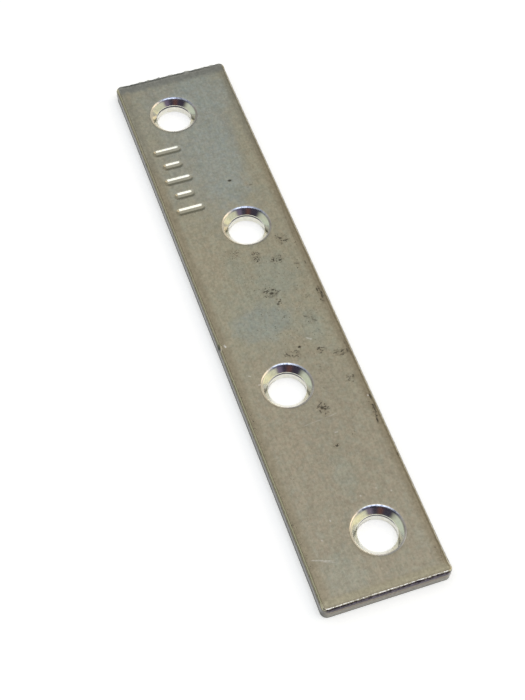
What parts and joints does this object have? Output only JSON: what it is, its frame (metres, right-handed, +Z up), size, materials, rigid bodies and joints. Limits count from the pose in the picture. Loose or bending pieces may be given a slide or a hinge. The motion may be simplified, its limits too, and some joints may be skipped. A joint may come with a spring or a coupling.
{
  "type": "mending plate",
  "caption": "Flat zinc-plated steel mending plate with rounded edges and staggered countersunk screw holes along its length.",
  "frame": {"origin": "centre of the underside, the face without countersinks", "axes": "+X along the strip, +Y across it, +Z up through the thickness to the countersunk face"},
  "size_m": [0.1, 0.019, 0.0025],
  "materials": {
    "zinc_plate": "satin zinc plating with a faint yellow and blue passivation tint"
  },
  "bodies": {
    "root": {"mending_plate": "zinc_plate"}
  },
  "joints": []
}
